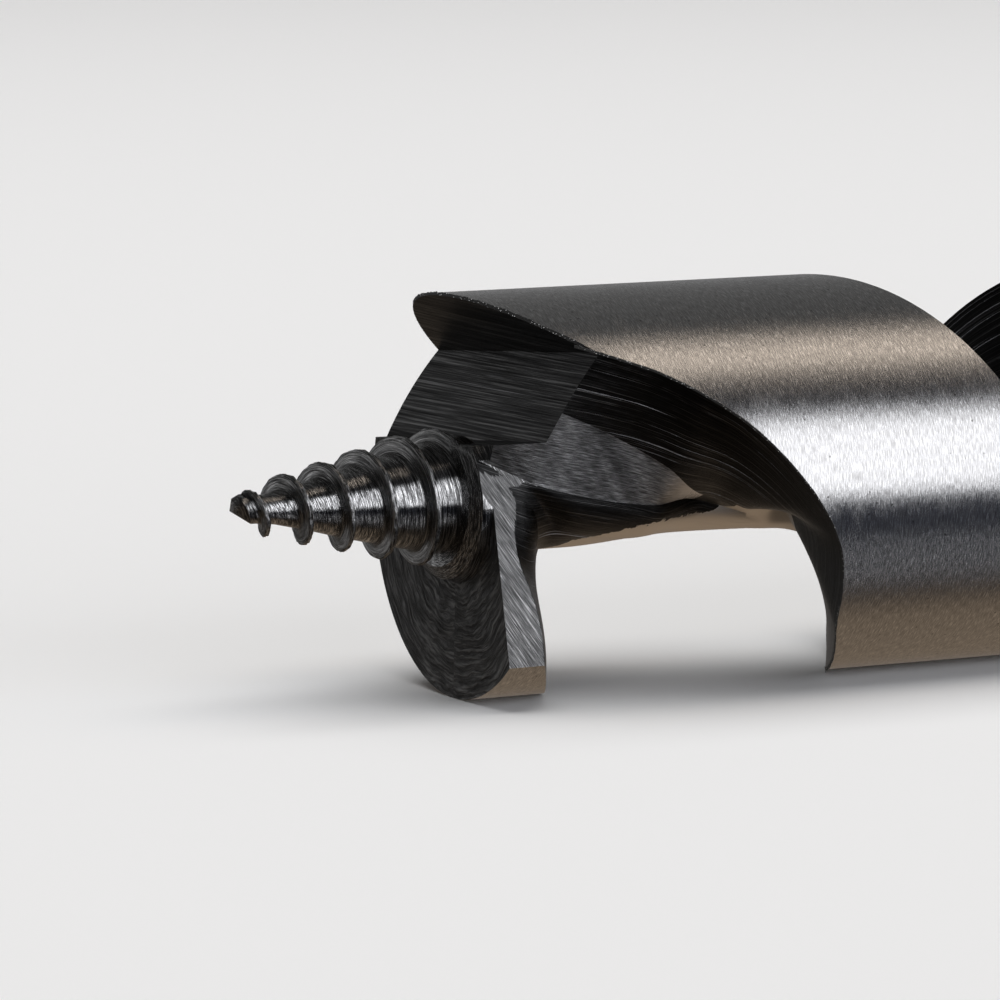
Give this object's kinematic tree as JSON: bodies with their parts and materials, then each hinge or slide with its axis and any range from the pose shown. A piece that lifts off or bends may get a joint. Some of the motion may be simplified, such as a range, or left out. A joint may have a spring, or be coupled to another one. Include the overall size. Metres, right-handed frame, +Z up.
{
  "type": "auger drill bit",
  "caption": "Auger drill bit for boring wood: coarse lead screw, spur and cutter at the head, a wide helical flute round a core, round neck and hexagon shank.",
  "frame": {"origin": "centre of the shank's rear end face", "axes": "+X along the bit's axis from the screw tip toward the shank's rear end, where X is 0; +Y across; +Z up as the bit lies in the picture, through a corner of the hexagon"},
  "size_m": [0.235, 0.0202, 0.02],
  "materials": {
    "steel": "ground on the land and the cutting faces, dark and milled in the flute"
  },
  "bodies": {
    "root": {"auger_bit": "steel"}
  },
  "joints": []
}
